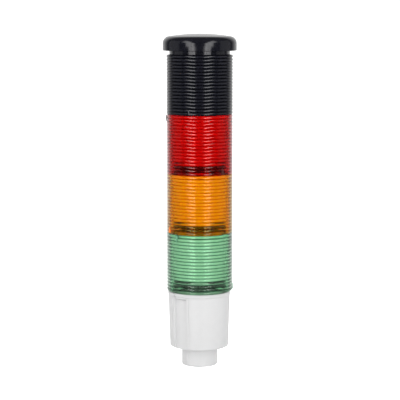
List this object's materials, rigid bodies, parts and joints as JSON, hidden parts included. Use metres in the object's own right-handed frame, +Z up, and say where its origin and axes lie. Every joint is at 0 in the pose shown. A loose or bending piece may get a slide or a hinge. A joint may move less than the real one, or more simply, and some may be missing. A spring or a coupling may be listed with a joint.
{
  "type": "signal tower",
  "caption": "Upright round signal tower: green, amber and red ribbed light modules and a black sounder, twist-locked in a stack on a white base with a pole socket below.",
  "frame": {"origin": "centre of the pole socket's mouth, the lowest point, on the tower's axis", "axes": "+Z up along the tower's axis; -Y is the front, the side seen from the viewpoint; +X is the viewer's right"},
  "size_m": [0.067, 0.067, 0.3033],
  "materials": {
    "white_plastic": "satin moulded",
    "black_plastic": "glossy moulded",
    "red_lens": "transparent coloured, glossy",
    "amber_lens": "transparent coloured, glossy",
    "green_lens": "transparent coloured, glossy",
    "diffuser": "frosted",
    "board": "solder mask",
    "led": "moulded LED package",
    "contact_plastic": "moulded",
    "rubber": "matt, pale grey",
    "brass": "turned",
    "steel": "zinc plated",
    "fabric": "woven"
  },
  "bodies": {
    "base": {"base_housing": "white_plastic", "pole_adapter": "white_plastic", "adapter_lock_nut": "black_plastic", "pole_gasket": "rubber", "set_screw_insert": "brass", "terminal_carrier": "white_plastic", "base_seal": "rubber", "base_contact_plate": "board", "terminal_board": "board", "terminal_block": "contact_plastic", "carrier_screw_1": "steel", "carrier_screw_2": "steel", "carrier_screw_3": "steel", "terminal_screw_1": "steel", "terminal_screw_2": "steel", "terminal_screw_3": "steel", "terminal_screw_4": "steel", "terminal_screw_5": "steel"},
    "cable_cover": {"cable_exit_cover": "white_plastic"},
    "set_screw": {"pole_set_screw": "steel"},
    "green_module": {"green_lens": "green_lens", "green_diffuser": "diffuser", "green_foot": "black_plastic", "green_seal": "rubber", "green_contact_pins": "contact_plastic", "green_contact_plate": "board", "green_led_board": "board", "green_leds_front": "led", "green_leds_back": "led"},
    "amber_module": {"amber_lens": "amber_lens", "amber_diffuser": "diffuser", "amber_foot": "black_plastic", "amber_seal": "rubber", "amber_contact_pins": "contact_plastic", "amber_contact_plate": "board", "amber_led_board": "board", "amber_leds_front": "led", "amber_leds_back": "led"},
    "red_module": {"red_lens": "red_lens", "red_diffuser": "diffuser", "red_foot": "black_plastic", "red_seal": "rubber", "red_contact_pins": "contact_plastic", "red_contact_plate": "board", "red_led_board": "board", "red_leds_front": "led", "red_leds_back": "led"},
    "sounder": {"sounder_housing": "black_plastic", "sounder_foot": "black_plastic", "sounder_contact_pins": "contact_plastic", "sounder_board": "board", "buzzer_capsule": "black_plastic", "trimmer_body": "contact_plastic", "sound_membrane": "fabric"},
    "volume": {"volume_spindle": "brass"},
    "cap": {"top_cap": "black_plastic"}
  },
  "joints": [
    {"name": "green_twist", "type": "hinge", "parent": "base", "child": "green_module", "pos_m": [0, 0, 0.0694], "axis": [0, 0, 1], "range_deg": [0, 20]},
    {"name": "amber_twist", "type": "hinge", "parent": "green_module", "child": "amber_module", "pos_m": [0, 0, 0.1232], "axis": [0, 0, 1], "range_deg": [0, 20]},
    {"name": "red_twist", "type": "hinge", "parent": "amber_module", "child": "red_module", "pos_m": [0, 0, 0.177], "axis": [0, 0, 1], "range_deg": [0, 20]},
    {"name": "sounder_twist", "type": "hinge", "parent": "red_module", "child": "sounder", "pos_m": [0, 0, 0.2308], "axis": [0, 0, 1], "range_deg": [0, 20]},
    {"name": "cap_twist", "type": "hinge", "parent": "sounder", "child": "cap", "pos_m": [0, 0, 0.2846], "axis": [0, 0, 1], "range_deg": [0, 20]},
    {"name": "volume_turn", "type": "hinge", "parent": "sounder", "child": "volume", "pos_m": [0.014, 0, 0.2505], "axis": [0, 0, 1], "range_deg": [0, 270]},
    {"name": "cable_cover_pull", "type": "slide", "parent": "base", "child": "cable_cover", "axis": [-0.6428, -0.766, 0], "range_m": [0, 0.008]},
    {"name": "set_screw_drive", "type": "slide", "parent": "base", "child": "set_screw", "axis": [0, 1, 0], "range_m": [-0.001, 0.002]}
  ]
}
